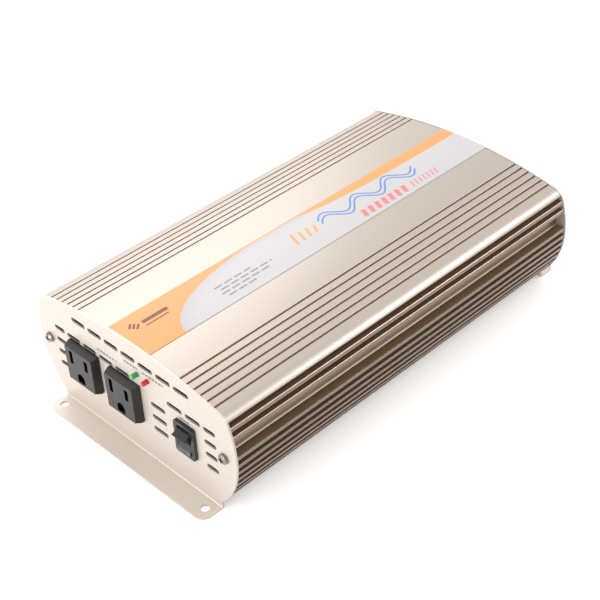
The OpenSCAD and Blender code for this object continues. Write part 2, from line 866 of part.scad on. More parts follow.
// A stud with a collar inside its base's front and a plain pilot end for starting the nut
module stud(x) {
    rod_y(x, plate_out - stud_in, stud_z, stud_d, stud_in + stud_out - stud_tip_l);
    rod_y(x, plate_out, stud_z, stud_tip_d, stud_out);
    rod_y(x, collar_y, stud_z, nut_w, collar_t);
}

module positive_stud() {
    color("gold") stud(positive_x);
}

module negative_stud() {
    color("gold") stud(negative_x);
}

module hex_nut(x, y, z, w, d, t) {
    difference() {
        translate([x, y + t, z]) rotate([90, 30, 0]) cylinder(d = w / cos(30), h = t, $fn = 6);
        rod_y(x, y - 1, z, d + 2 * screw_fit, t + 2);
    }
}

module ring_y(x, y, z, d, bore, t) {
    difference() {
        rod_y(x, y, z, d, t);
        rod_y(x, y - 1, z, bore, t + 2);
    }
}

inner_insulator_y = plate_in - 0.5 - terminal_inner_t;
bar_y = inner_insulator_y - bar_t;
inner_nut_y = bar_y - nut_t;

module terminal_nuts() {
    color("gold") for (x = [positive_x, negative_x]) {
        hex_nut(x, outer_washer_y + washer_t, stud_z, nut_w, stud_d, nut_t);
        hex_nut(x, inner_nut_y, stud_z, nut_w, stud_d, nut_t);
    }
}

module terminal_washers() {
    color("silver") for (x = [positive_x, negative_x])
        ring_y(x, outer_washer_y, stud_z, washer_d, stud_d + 2 * screw_fit, washer_t);
}

module terminal_inner_insulators() {
    color("white") for (x = [positive_x, negative_x]) difference() {
        rod_y(x, inner_insulator_y, stud_z, terminal_base_d - 2, terminal_inner_t + 0.5);
        rod_y(x, plate_in - 0.5, stud_z, terminal_neck_d + 0.1, 2);
        rod_y(x, inner_insulator_y - 1, stud_z, stud_d + 2 * running_fit, terminal_inner_t + 3);
    }
}

// A copper strip down from the stud and along the board's top
module bus_bar(x) {
    difference() {
        union() {
            translate([x - bar_w / 2, bar_y, board_top])
                cube([bar_w, bar_t, stud_z - board_top + nut_w / 2]);
            translate([x - bar_w / 2, board_back_y - 10, board_top])
                cube([bar_w, bar_y - board_back_y + 10 + bar_t, bar_t]);
        }
        rod_y(x, bar_y - 1, stud_z, stud_d + 2 * running_fit, bar_t + 2);
    }
}

module positive_bus_bar() {
    color("peru") bus_bar(positive_x);
}

module negative_bus_bar() {
    color("peru") bus_bar(negative_x);
}

module earth_screw() {
    color("silver") translate([earth_x, plate_out, earth_z]) rotate([0, 0, 180])
        pan_screw(earth_d, 2 * earth_d, 3, 10);
}

module earth_nut() {
    color("silver") hex_nut(earth_x, plate_in - 3.2, earth_z, 7, earth_d, 3.2);
}

// Electronics ------------------------------------------------------------------------------------------

module main_board() {
    color("darkgreen") difference() {
        translate([-board_half_w, board_front_y, board_z]) cube([2 * board_half_w, board_len, board_t]);
        each_board_hole() translate([0, 0, board_z - 1])
            cylinder(d = board_screw_d + 2 * cutout_fit, h = board_t + 2);
    }
}

sheet_t = 0.4;

module insulating_sheet() {
    color("ivory") difference() {
        translate([-sheet_half_w, board_front_y, cavity_z]) cube([2 * sheet_half_w, board_len, sheet_t]);
        each_board_hole() translate([0, 0, cavity_z - 1])
            cylinder(d = spacer_d + 2 * cutout_fit, h = sheet_t + 2);
    }
}

module board_spacers() {
    color("gold") each_board_hole() translate([0, 0, cavity_z]) difference() {
        cylinder(d = spacer_d, h = board_rise);
        translate([0, 0, -1]) cylinder(d = board_screw_d + 2 * screw_fit, h = board_rise + 2);
    }
}

module board_screws() {
    color("silver") each_board_hole() translate([0, 0, board_top]) rotate([-90, 0, 0])
        pan_screw(board_screw_d, 2 * board_screw_d, 2, board_rise + board_t + board_screw_bite - 0.1);
}

core_w = 40;
core_d = 18;
core_h = 36;
core_leg = 12;
core_window = 8;
core_yoke = 6;
coil_fit = 0.2;
coil_out = 7;

function transformer_y(i) = board_mid_y + 15 + (1 - i) * transformer_pitch;

module transformer_core(i) {
    color("darkslategray") translate([0, transformer_y(i), board_top]) difference() {
        translate([-core_w / 2, -core_d / 2, 0]) cube([core_w, core_d, core_h]);
        for (s = [-1, 1])
            translate([s * (core_leg + core_window) / 2 - core_window / 2, -core_d, core_yoke])
                cube([core_window, 2 * core_d, core_h - 2 * core_yoke]);
    }
}

module transformer_coil(i) {
    z = core_yoke + coil_fit;
    color("darkorange") translate([0, transformer_y(i), board_top + z])
        linear_extrude(core_h - 2 * z) difference() {
            soft_rect(core_leg + 2 * coil_out, core_d + 2 * coil_out, 4);
            square([core_leg + 2 * coil_fit, core_d + 2 * coil_fit], center = true);
        }
}

bar_len = 150;
heat_bar_t = 4;
heat_bar_h = 25;
mosfet_t = 4.5;
mosfet_w = 10;
mosfet_h = 15;
mosfet_z = board_top + 6;
clamp_t = 2;
clamp_h = 5;
heat_bar_x = board_half_w - 4 - heat_bar_t;
bar_mid_y = board_mid_y + 5;
clamp_screw_d = 3;

module clamp_screw_places() {
    for (i = [0 : 3])
        translate([0, bar_mid_y + (i - 1.5) * 2 * mosfet_pitch, mosfet_z + mosfet_h / 2]) children();
}

mosfet_pitch = bar_len / mosfet_count;

// Everything on the right side's bar; the left side is its mirror image
module heat_bar() {
    difference() {
        translate([heat_bar_x, bar_mid_y - bar_len / 2, board_top]) cube([heat_bar_t, bar_len, heat_bar_h]);
        clamp_screw_places() translate([heat_bar_x - 1, 0, 0]) rotate([0, 90, 0])
            cylinder(d = clamp_screw_d + 2 * screw_fit, h = heat_bar_t);
    }
}

module mosfets() {
    for (i = [0 : mosfet_count - 1]) {
        y = bar_mid_y + (i - (mosfet_count - 1) / 2) * mosfet_pitch;
        translate([heat_bar_x - mosfet_t, y - mosfet_w / 2, mosfet_z]) cube([mosfet_t, mosfet_w, mosfet_h]);
        for (s = [-1 : 1]) translate([heat_bar_x - mosfet_t / 2 - 0.4, y + s * 2.54 - 0.4, board_top])
            cube([0.8, 0.8, mosfet_z - board_top]);
    }
}

module clamp_bar() {
    x = heat_bar_x - mosfet_t - clamp_t;
    difference() {
        translate([x, bar_mid_y - bar_len / 2, mosfet_z + (mosfet_h - clamp_h) / 2])
            cube([clamp_t, bar_len, clamp_h]);
        clamp_screw_places() translate([x - 1, 0, 0]) rotate([0, 90, 0])
            cylinder(d = clamp_screw_d + 2 * screw_fit, h = clamp_t + 2);
    }
}

module heat_bar_left() {
    color("silver") mirror([1, 0, 0]) heat_bar();
}

module heat_bar_right() {
    color("silver") heat_bar();
}

module mosfets_left() {
    color("black") mirror([1, 0, 0]) mosfets();
}

module mosfets_right() {
    color("black") mosfets();
}

module clamp_bar_left() {
    color("gray") mirror([1, 0, 0]) clamp_bar();
}

module clamp_bar_right() {
    color("gray") clamp_bar();
}

module clamp_screws() {
    x = heat_bar_x - mosfet_t - clamp_t;
    color("silver") for (side = [0, 1]) mirror([side, 0, 0]) clamp_screw_places() translate([x, 0, 0])
        rotate([0, 0, -90]) pan_screw(clamp_screw_d, 5, 2, clamp_t + mosfet_t + heat_bar_t - 1.5);
}

input_can_d = 16;
input_can_h = 31;
input_can_x = 31;
input_can_pitch = 20;
output_can_d = 22;
output_can_h = 40;
output_can_x = 30;
can_lip = 1;
stage_y = board_front_y + 48;
choke_r = 10;
choke_wire_r = 5;

// An upright can capacitor
module can(x, y, d, h) {
    translate([x, y, board_top]) {
        cylinder(d = d, h = h - can_lip);
        translate([0, 0, h - can_lip]) cylinder(d = d - 2 * can_lip, h = can_lip);
    }
}

module input_capacitors() {
    color("midnightblue") for (sx = [-1, 1]) for (i = [0, 1])
        can(sx * input_can_x, board_back_y - 22 - i * input_can_pitch, input_can_d, input_can_h);
}

module output_capacitors() {
    color("midnightblue") for (sx = [-1, 1]) can(sx * output_can_x, stage_y, output_can_d, output_can_h);
}

module output_choke() {
    color("olive") translate([0, stage_y + 2, board_top + choke_wire_r]) rotate_extrude()
        translate([choke_r, 0]) circle(r = choke_wire_r);
}

fuse_w = 19;
fuse_t = 5;
fuse_h = 12;
fuse_pitch = 8;

// Blade fuses, three on each side of the middle
module fuses() {
    color("orange") for (sx = [-1, 1]) for (i = [0 : 2])
        translate([sx * (fuse_w + 3) / 2 - fuse_w / 2, board_back_y - 36 + i * fuse_pitch, board_top])
            cube([fuse_w, fuse_t, fuse_h]);
}

card_w = 56;
card_h = 28;
chip_w = 10;
chip_t = 3;
chip_h = 8;
chip_pitch = 17;

// The small upright board that runs the inverter, with three chips on it
module control_board() {
    color("green") translate([0, board_front_y + 30, board_top]) {
        translate([-card_w / 2, 0, 0]) cube([card_w, board_t, card_h]);
        for (i = [-1 : 1]) translate([i * chip_pitch - chip_w / 2, board_t, card_h - chip_h - 8])
            cube([chip_w, chip_t, chip_h]);
    }
}

buzzer_d = 12;
buzzer_h = 9;
buzzer_hole_d = 2.4;

module buzzer() {
    color("black") translate([20, board_front_y + 14, board_top]) difference() {
        cylinder(d = buzzer_d, h = buzzer_h);
        translate([0, 0, buzzer_h - 3]) cylinder(d = buzzer_hole_d, h = 4);
    }
}

// Leads ------------------------------------------------------------------------------------------------

lead_d = 2.4;
lead_sides = 8;
lead_stub = 1;
function bezier(p, n) = [for (i = [0 : n]) let (t = i / n, s = 1 - t)
    s * s * s * p[0] + 3 * s * s * t * p[1] + 3 * s * t * t * p[2] + t * t * t * p[3]];
function unit(v) = v / norm(v);
function direction(path, i) = unit(path[min(i + 1, len(path) - 1)] - path[max(i - 1, 0)]);

// A round lead swept along path, which never runs straight along X
module lead(path) {
    n = len(path);
    rings = [for (i = [0 : n - 1])
        let (t = direction(path, i), a = unit(cross(t, [1, 0, 0])), b = cross(t, a))
        for (k = [0 : lead_sides - 1])
            let (w = k * 360 / lead_sides) path[i] + lead_d / 2 * (cos(w) * a + sin(w) * b)];
    sides = [for (i = [0 : n - 2]) for (k = [0 : lead_sides - 1]) let (m = (k + 1) % lead_sides)
        [i * lead_sides + k, i * lead_sides + m, (i + 1) * lead_sides + m, (i + 1) * lead_sides + k]];
    ends = [[for (k = [lead_sides - 1 : -1 : 0]) k],
        [for (k = [0 : lead_sides - 1]) (n - 1) * lead_sides + k]];
    polyhedron(rings, concat(sides, ends), convexity = 4);
}

// A lead that leaves p along Y, towards dir, and lands upright on the board at q
module lead_down(p, q, dir = 1) {
    out = [0, dir * lead_stub, 0];
    up = [0, 0, lead_stub];
    lead(concat([p], bezier([p + out, p + 9 * out, q + 14 * up, q + up], 10), [q]));
}

module ac_leads() {
    tab_y = -plate_out + outlet_body_d + tab_l;
    color("white") for (x = [outlet_left_x, outlet_right_x]) {
        for (s = [-1, 1]) lead_down([x + s * blade_spacing / 2, tab_y, outlet_z + blade_rise],
                                    [x + s * blade_spacing / 2, tab_y + 6 + 2 * s, board_top]);
        lead_down([x, tab_y, outlet_z + blade_rise - earth_drop], [x, tab_y + 5, board_top]);
    }
}

module switch_leads() {
    tab_y = arm_y + switch_body_d + tab_l - arm_fulcrum_d;
    lower_z = switch_z - arm_l / 2 + 0.5;
    color("black") {
        lead_down([switch_x, tab_y, switch_z], [switch_x, tab_y + 12, board_top]);
        lead_down([switch_x, tab_y, lower_z], [switch_x, tab_y + 6, board_top]);
    }
}

module fan_lead() {
    x = fan_x - fan_w / 2 + 6;
    color("red") lead_down([x, fan_front_y, fan_z], [x, board_back_y - 4, board_top], -1);
}

top_shell();
bottom_shell();
front_plate();
rear_plate();
end_plate_screws();
top_label();
outlet_left();
outlet_right();
outlet_left_contacts();
outlet_right_contacts();
switch_housing();
switch_rocker();
switch_contact_arm();
switch_terminals();
led_green();
led_red();
led_board();
fan_frame();
fan_rotor();
fan_guard();
fan_screws();
positive_base();
negative_base();
positive_stud();
negative_stud();
terminal_nuts();
terminal_washers();
terminal_inner_insulators();
positive_bus_bar();
negative_bus_bar();
earth_screw();
earth_nut();
main_board();
insulating_sheet();
board_spacers();
board_screws();
transformer_core(0);  // transformer_core_1
transformer_core(1);  // transformer_core_2
transformer_core(2);  // transformer_core_3
transformer_coil(0);  // transformer_coil_1
transformer_coil(1);  // transformer_coil_2
transformer_coil(2);  // transformer_coil_3
heat_bar_left();
heat_bar_right();
mosfets_left();
mosfets_right();
clamp_bar_left();
clamp_bar_right();
clamp_screws();
input_capacitors();
output_capacitors();
output_choke();
fuses();
control_board();
buzzer();
ac_leads();
switch_leads();
fan_lead();
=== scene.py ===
"""Power inverter: finishes, softened edges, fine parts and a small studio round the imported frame."""

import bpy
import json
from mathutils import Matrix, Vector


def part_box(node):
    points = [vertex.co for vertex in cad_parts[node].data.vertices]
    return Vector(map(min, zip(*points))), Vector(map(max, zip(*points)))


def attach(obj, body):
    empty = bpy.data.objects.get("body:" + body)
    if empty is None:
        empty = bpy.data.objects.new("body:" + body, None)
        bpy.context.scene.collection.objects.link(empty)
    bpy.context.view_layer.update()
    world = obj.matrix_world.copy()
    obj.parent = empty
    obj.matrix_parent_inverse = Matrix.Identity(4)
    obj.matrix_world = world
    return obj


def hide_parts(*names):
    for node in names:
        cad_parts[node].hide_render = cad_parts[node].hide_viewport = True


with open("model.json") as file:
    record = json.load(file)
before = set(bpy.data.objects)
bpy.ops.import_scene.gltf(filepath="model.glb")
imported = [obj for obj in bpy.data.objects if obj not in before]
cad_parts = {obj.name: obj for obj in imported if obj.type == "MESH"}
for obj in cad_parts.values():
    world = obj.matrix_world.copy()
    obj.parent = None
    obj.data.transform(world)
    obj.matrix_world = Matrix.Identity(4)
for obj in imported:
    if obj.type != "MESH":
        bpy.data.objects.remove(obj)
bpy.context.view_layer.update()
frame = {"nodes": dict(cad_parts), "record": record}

import json
import math

import bmesh
import bpy
from bpy.props import FloatProperty, FloatVectorProperty, PointerProperty
from mathutils import Matrix, Vector

bl_info = {
    "name": "Power Inverter",
    "version": (1, 0, 0),
    "blender": (4, 5, 0),
    "location": "View3D > Sidebar > Inverter",
    "description": "Builds the finishes and fine parts of a finned power inverter",
    "category": "Object",
}

MM = 0.001
CROWN_RADIUS = 318 * MM
ROWS_PER_TURN = 6
STUD_SIDES = 36


def linear(text):
    """The linear colour of an sRGB hex value such as C8B9A6."""
    parts = [int(text[i:i + 2], 16) / 255 for i in (0, 2, 4)]
    return tuple(p / 12.92 if p <= 0.04045 else ((p + 0.055) / 1.055) ** 2.4 for p in parts)


def colour_setting(name, description, text):
    return FloatVectorProperty(name=name, description=description, subtype="COLOR", size=3, min=0, max=1,
                               default=linear(text))


def length_setting(name, description, mm):
    return FloatProperty(name=name, description=description, subtype="DISTANCE", unit="LENGTH", min=0,
                         default=mm * MM)


# Settings ---------------------------------------------------------------------------------------------

class InverterColours(bpy.types.PropertyGroup):
    anodising: colour_setting("Anodising", "Champagne of the two case extrusions", "BDB3AA")
    # The rib colour is the painted shade of the ribbed sides and of the whole lower extrusion, and sets their
    # painted reflection and highlight; the groove colour is painted shade in the roof's grooves
    ribs: colour_setting("Rib painted shade", "Deeper champagne between and below the side ribs", "84766B")
    grooves: colour_setting("Groove painted shade", "Warm brown down the grooves of the roof", "C4A88C")
    powder: colour_setting("End plates", "Champagne of the two bent end plates", "BDB4AB")
    outlet: colour_setting("Outlets", "Plastic of the outlets", "0F0C0B")
    switch: colour_setting("Switch", "Plastic of the rocker switch", "131112")
    label_field: colour_setting("Label field", "Printed colour at the front of the label", "E9A05C")
    label_body: colour_setting("Label body", "Printed colour of the rest of the label", "C6C3C5")
    label_wave: colour_setting("Label wave", "Printed colour of the wave mark", "5B86D4")
    label_bars: colour_setting("Label bars", "Printed colour of the row of blocks", "EE7F86")
    lamp_on: colour_setting("Power lamp", "Epoxy of the power lamp", "159A45")
    lamp_fault: colour_setting("Fault lamp", "Epoxy of the fault lamp", "C81408")
    positive: colour_setting("Positive base", "Plastic round the positive stud", "B3191B")
    negative: colour_setting("Negative base", "Plastic round the negative stud", "17171A")


class InverterSizes(bpy.types.PropertyGroup):
    extrusion_edge: length_setting("Extrusion edge", "Radius the die leaves on rib and groove edges", 0.4)
    plate_edge: length_setting("Plate edge", "Rounding of the punched sheet's edges", 0.25)
    moulding_edge: length_setting("Moulding edge", "Radius on the corners of moulded plastic", 0.35)
    metal_edge: length_setting("Fitting edge", "Radius on the corners of screws, nuts and washers", 0.15)
    print_lift: length_setting("Print lift", "Height of the printed marks over the label", 0.04)
    stud_pitch: length_setting("Stud thread pitch", "Distance between two turns of the stud thread", 1.25)


class InverterStudio(bpy.types.PropertyGroup):
    key: FloatProperty(name="Key light", description="Power of the large light behind and to the left",
                       subtype="POWER", unit="POWER", default=6.8)
    fill: FloatProperty(name="Fill light", description="Power of the light at the front left",
                        subtype="POWER", unit="POWER", default=12)
    rim: FloatProperty(name="Rim light", description="Power of the light at the back right",
                       subtype="POWER", unit="POWER", default=3.5)
    floor_glow: FloatProperty(name="Floor glow", description="Light that comes up through the white floor",
                              default=0.3, min=0)
    sky: FloatProperty(name="Surround", description="Brightness of the pale surround", default=1.1, min=0)
    lens: FloatProperty(name="Lens", description="Focal length on a 36 mm sensor", subtype="DISTANCE_CAMERA",
                        default=80.1)


# Node and material tools ------------------------------------------------------------------------------

def add_node(tree, kind, inputs=None, **settings):
    """Adds a node, sets its properties, and gives each named input a value or a link."""
    made = tree.nodes.new(kind)
    for name, value in settings.items():
        setattr(made, name, value)
    for name, value in (inputs or {}).items():
        if isinstance(value, bpy.types.NodeSocket):
            tree.links.new(value, made.inputs[name])
        else:
            made.inputs[name].default_value = value
    return made


def shader_tree(name, colour, **sockets):
    """A material with one Principled shader: its tree, the shader and the object coordinates in metres."""
    material = bpy.data.materials.new(name)
    material.use_nodes = True
    material.diffuse_color = (*colour, 1)
    tree = material.node_tree
    shader = tree.nodes["Principled BSDF"]
    shader.inputs["Base Color"].default_value = (*colour, 1)
    for socket, value in sockets.items():
        shader.inputs[socket].default_value = value
    place = add_node(tree, "ShaderNodeTexCoord").outputs["Object"]
    return material, tree, shader, place


def stretched_noise(tree, place, mm, detail=3.0, roughness=0.55):
    """Noise whose spots measure mm = (x, y, z) millimetres."""
    scaled = add_node(tree, "ShaderNodeMapping", {"Vector": place, "Scale": [1 / (size * MM) for size in mm]})
    return add_node(tree, "ShaderNodeTexNoise",
                    {"Vector": scaled.outputs[0], "Scale": 1.0, "Detail": detail, "Roughness": roughness})


def vary(tree, shader, noise, colour, spread, roughness=None, roughness_spread=0.0):
    """Lets a noise move the colour and the roughness a little to both sides of their middle."""
    dark = tuple(c * (1 - spread) for c in colour)
    pale = tuple(min(1, c * (1 + spread)) for c in colour)
    mixed = add_node(tree, "ShaderNodeMix", {"Factor": noise.outputs[0], "A": (*dark, 1), "B": (*pale, 1)},
                     data_type="RGBA")
    tree.links.new(mixed.outputs["Result"], shader.inputs["Base Color"])
    if roughness is not None:
        spot = add_node(tree, "ShaderNodeMapRange",
                        {"Value": noise.outputs[0], "From Min": 0.3, "From Max": 0.7,
                         "To Min": roughness - roughness_spread, "To Max": roughness + roughness_spread})
        tree.links.new(spot.outputs[0], shader.inputs["Roughness"])
    return mixed


def bump(tree, shader, height, mm, strength=0.5):
    """Raises the surface where height is high, by mm millimetres at most."""
    raised = add_node(tree, "ShaderNodeBump", {"Height": height, "Strength": strength, "Distance": mm * MM})
    tree.links.new(raised.outputs[0], shader.inputs["Normal"])
    return raised


def math_node(tree, operation, first, second=0.0):
    return add_node(tree, "ShaderNodeMath", {0: first, 1: second}, operation=operation).outputs[0]


def ramp(tree, value, start, end):
    """0 at start rising smoothly to 1 at end; start may lie above end."""
    return add_node(tree, "ShaderNodeMapRange", {"Value": value, "From Min": start, "From Max": end},
                    interpolation_type="SMOOTHSTEP").outputs[0]


def blend_colour(tree, factor, first, second):
    return add_node(tree, "ShaderNodeMix", {"Factor": factor, "A": first, "B": second},
                    data_type="RGBA").outputs["Result"]


def anodised_aluminium(name, colour, rib_shade_colour=None, groove_shade_colour=None):
    """Extruded 6063 aluminium, etched satin and anodised: metal gloss with faint die lines along its length.
    Below the shoulder's highlight the ribbed sides get a darker painted shade on the walls, a paler olive
    painted reflection on the shelves between the ribs and a near-white painted highlight on the rounded
    edges. The roof's grooves get a warm brown painted shade."""
    material, tree, shader, place = shader_tree(name, colour, Metallic=0.8, Roughness=0.34)
    die_lines = stretched_noise(tree, place, (0.5, 60, 0.5), 2.0)
    etch = stretched_noise(tree, place, (0.35, 0.35, 0.35), 4.0, 0.7)
    both = add_node(tree, "ShaderNodeMix", {"Factor": 0.6, "A": die_lines.outputs[0], "B": etch.outputs[0]},
                    data_type="FLOAT")
    tone = vary(tree, shader, both, colour, 0.05, 0.34, 0.05).outputs["Result"]
    bump(tree, shader, both.outputs[0], 0.012, 0.5)
    if rib_shade_colour:
        facing = add_node(tree, "ShaderNodeTexCoord").outputs["Normal"]
        up = add_node(tree, "ShaderNodeSeparateXYZ", {"Vector": facing}).outputs[2]
        across, _, height = add_node(tree, "ShaderNodeSeparateXYZ", {"Vector": place}).outputs
        # Painted light down the sides: painted shade below 63 mm and on steep faces, a painted reflection on
        # the shelves, a painted highlight on the rounded edges and the cove's lower side
        shelf_reflection_mask = ramp(tree, up, 0.90, 0.98)
        painted_edge_highlight = math_node(tree, "MULTIPLY", ramp(tree, up, 0.55, 0.72), ramp(tree, up, 0.99, 0.90))
        painted_shelf_reflection = tuple(c * f for c, f in zip(rib_shade_colour, (1.7, 1.5, 1.15)))
        pale = tuple(min(1, c * 4.2) for c in rib_shade_colour)
        ribs = blend_colour(tree, shelf_reflection_mask, (*rib_shade_colour, 1), (*painted_shelf_reflection, 1))
        ribs = blend_colour(tree, painted_edge_highlight, ribs, (*pale, 1))
        below = ramp(tree, height, 63.5 * MM, 62.5 * MM)
        painted_side_shade = math_node(tree, "MAXIMUM", below, ramp(tree, up, 0.66, 0.46))
        tone = blend_colour(tree, painted_side_shade, tone, ribs)
        if groove_shade_colour:
            # Depth under the crown, out to 67 mm from the middle
            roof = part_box("top_shell")[1].z
            drop = math_node(tree, "DIVIDE", math_node(tree, "MULTIPLY", across, across), 2 * CROWN_RADIUS)
            depth = math_node(tree, "SUBTRACT", math_node(tree, "SUBTRACT", roof, drop), height)
            near = ramp(tree, math_node(tree, "ABSOLUTE", across), 67 * MM, 66.8 * MM)
            # Painted shade: a warm brown down the roof's grooves, more than 0.25 mm under the crown
            groove_shade_mask = math_node(tree, "MULTIPLY", near, ramp(tree, depth, 0.25 * MM, 0.5 * MM))
            tone = blend_colour(tree, groove_shade_mask, tone, (*groove_shade_colour, 1))
        tree.links.new(tone, shader.inputs["Base Color"])
    return material


def powder_coat(name, colour):
    """Polyester powder coat on steel sheet with a little flake: soft, slightly uneven satin."""
    material, tree, shader, place = shader_tree(name, colour, Metallic=0.3, Roughness=0.42,
                                                **{"Coat Weight": 0.15, "Coat Roughness": 0.35})
    flake = stretched_noise(tree, place, (0.3, 0.3, 0.3), 4.0, 0.7)
    peel = stretched_noise(tree, place, (1.4, 1.4, 1.4), 2.0)
    tone = vary(tree, shader, flake, colour, 0.05, 0.42, 0.05).outputs["Result"]
    bump(tree, shader, peel.outputs[0], 0.02, 0.4)
    # Painted light: faces that look up are painted a little paler
    facing = add_node(tree, "ShaderNodeTexCoord").outputs["Normal"]
    up = add_node(tree, "ShaderNodeSeparateXYZ", {"Vector": facing}).outputs[2]
    pale = tuple(min(1, c * 1.42) for c in colour)
    coat = blend_colour(tree, ramp(tree, up, 0.3, 0.8), tone, (*pale, 1))
    tree.links.new(coat, shader.inputs["Base Color"])
    return material


def moulded_plastic(name, colour, roughness=0.42, grain_mm=0.35, relief_mm=0.02):
    """Injection-moulded ABS or nylon from a spark-eroded tool: fine even grain that breaks up the gloss."""
    material, tree, shader, place = shader_tree(name, colour, Roughness=roughness, IOR=1.53)
    grain = stretched_noise(tree, place, (grain_mm,) * 3, 3.0)
    vary(tree, shader, grain, colour, 0.10, roughness, 0.06)
    bump(tree, shader, grain.outputs[0], relief_mm, 0.5)
    return material


def polished_plastic(name, colour):
    """Moulded ABS from a polished tool: clear gloss with a very slight waviness."""
    material, tree, shader, place = shader_tree(name, colour, Roughness=0.36, IOR=1.53)
    wave = stretched_noise(tree, place, (3, 3, 3), 1.0)
    vary(tree, shader, wave, colour, 0.08, 0.36, 0.04)
    bump(tree, shader, wave.outputs[0], 0.02, 0.3)
    return material


def plated_metal(name, colour, roughness=0.26):
    """Nickel over steel, tumbled and plated: bright metal with soft unevenness and a few fine scratches."""
    material, tree, shader, place = shader_tree(name, colour, Metallic=1.0, Roughness=roughness)
    cloud = stretched_noise(tree, place, (0.8, 0.8, 0.8), 3.0)
    vary(tree, shader, cloud, colour, 0.06, roughness, 0.08)
    bump(tree, shader, stretched_noise(tree, place, (0.1, 2.5, 0.2), 2.0).outputs[0], 0.006, 0.4)
    return material


def tinted_epoxy(name, colour):
    """Clear cast epoxy with dye, as lamps are potted: light passes in, and a faint emission paints a glow
    into the unlit dome.
    """
    # Painted glow: the faint emission lights the epoxy though it gives no light of its own
    material, tree, shader, place = shader_tree(
        name, colour, Roughness=0.12, IOR=1.55,
        **{"Transmission Weight": 0.1, "Coat Weight": 0.4, "Coat Roughness": 0.05,
           "Emission Color": (*colour, 1), "Emission Strength": 0.03})
    haze = stretched_noise(tree, place, (0.8, 0.8, 0.8), 2.0)
    vary(tree, shader, haze, colour, 0.12, 0.12, 0.03)
    return material


def solder_mask(name, colour):
    """Fibreglass laminate under green solder mask: semi-gloss, with tracks as slightly paler lines."""
    material, tree, shader, place = shader_tree(name, colour, Roughness=0.3, IOR=1.5)
    cells = add_node(tree, "ShaderNodeTexVoronoi", {"Vector": place, "Scale": 1 / (6 * MM)},
                     feature="DISTANCE_TO_EDGE")
    track = add_node(tree, "ShaderNodeMath", {0: cells.outputs["Distance"], 1: 0.12}, operation="LESS_THAN")
    vary(tree, shader, track, colour, 0.35)
    bump(tree, shader, track.outputs[0], 0.035, 0.6)
    return material


def wound_copper(name, colour):
    """Enamelled copper wire, wound tight: metal with a ridge every wire, about 1 mm apart."""
    material, tree, shader, place = shader_tree(name, colour, Metallic=1.0, Roughness=0.32)
    turns = add_node(tree, "ShaderNodeTexWave", {"Vector": place, "Scale": 0.1 / MM, "Distortion": 0.2},
                     bands_direction="Z")
    vary(tree, shader, turns, colour, 0.3)
    bump(tree, shader, turns.outputs[0], 0.2, 0.8)
    return material


def pressed_board(name, colour):
    """Pressed paper board: dull and fibrous."""
    material, tree, shader, place = shader_tree(name, colour, Roughness=0.85)
    fibre = stretched_noise(tree, place, (0.4, 3, 0.4), 4.0, 0.7)
    vary(tree, shader, fibre, colour, 0.12)
    bump(tree, shader, fibre.outputs[0], 0.05, 0.5)
    return material


def printed_film(name, field, body, centre_x, front_y):
    """Polyester film printed on its back: even gloss, a warm field that sweeps into a pale body."""
    material, tree, shader, place = shader_tree(name, body, Roughness=0.3, IOR=1.57)
    parts = add_node(tree, "ShaderNodeSeparateXYZ", {"Vector": place}).outputs
    across = math_node(tree, "MULTIPLY", math_node(tree, "SUBTRACT", parts[0], centre_x), 1 / MM)
    along = math_node(tree, "MULTIPLY", math_node(tree, "SUBTRACT", parts[1], front_y), 1 / MM)
    # The body starts as a quarter ellipse 33 mm wide and 85 mm long, with its middle on the right edge
    sweep_u = math_node(tree, "DIVIDE", math_node(tree, "SUBTRACT", across, 16.6), 32.2)
    sweep_v = math_node(tree, "DIVIDE",
                        math_node(tree, "MINIMUM", math_node(tree, "SUBTRACT", along, 110), 0.0), 85)
    reach = math_node(tree, "ADD", math_node(tree, "POWER", math_node(tree, "ABSOLUTE", sweep_u), 2.0),
                      math_node(tree, "POWER", math_node(tree, "ABSOLUTE", sweep_v), 2.0))
    inside = add_node(tree, "ShaderNodeMapRange", {"Value": reach, "From Min": 0.985, "From Max": 1.015,
                                                   "To Min": 1.0, "To Max": 0.0}).outputs[0]
    # Behind the sweep the warm stripe at the left edge widens again to 8 mm
    past = math_node(tree, "MAXIMUM", math_node(tree, "SUBTRACT", along, 135), 0.0)
    widen = math_node(tree, "SUBTRACT", 1.0,
                      math_node(tree, "EXPONENT", math_node(tree, "DIVIDE", past, -30.0)))
    stripe = math_node(tree, "ADD", -15.4, math_node(tree, "MULTIPLY", widen, 7.6))
    clear = add_node(tree, "ShaderNodeMapRange",
                     {"Value": math_node(tree, "SUBTRACT", across, stripe), "From Min": -0.3,
                      "From Max": 0.3}).outputs[0]
    pale = math_node(tree, "MULTIPLY", inside, clear)
    shade = add_node(tree, "ShaderNodeMapRange", {"Value": reach, "From Min": 0.75, "From Max": 1.0,
                                                  "To Min": 0.0, "To Max": 0.55}).outputs[0]
    lilac = tuple(c * f for c, f in zip(body, (0.78, 0.79, 0.88)))
    body_mix = blend_colour(tree, shade, (*body, 1), (*lilac, 1))
    dots = stretched_noise(tree, place, (6, 6, 6), 2.0)
    deep = tuple(c * f for c, f in zip(field, (1.0, 0.94, 0.86)))
    field_mix = blend_colour(tree, dots.outputs[0], (*field, 1), (*deep, 1))
    tree.links.new(blend_colour(tree, pale, field_mix, body_mix), shader.inputs["Base Color"])
    ripple = stretched_noise(tree, place, (5, 14, 5), 1.0)
    bump(tree, shader, ripple.outputs[0], 0.02, 0.25)
    return material


finishes = {}


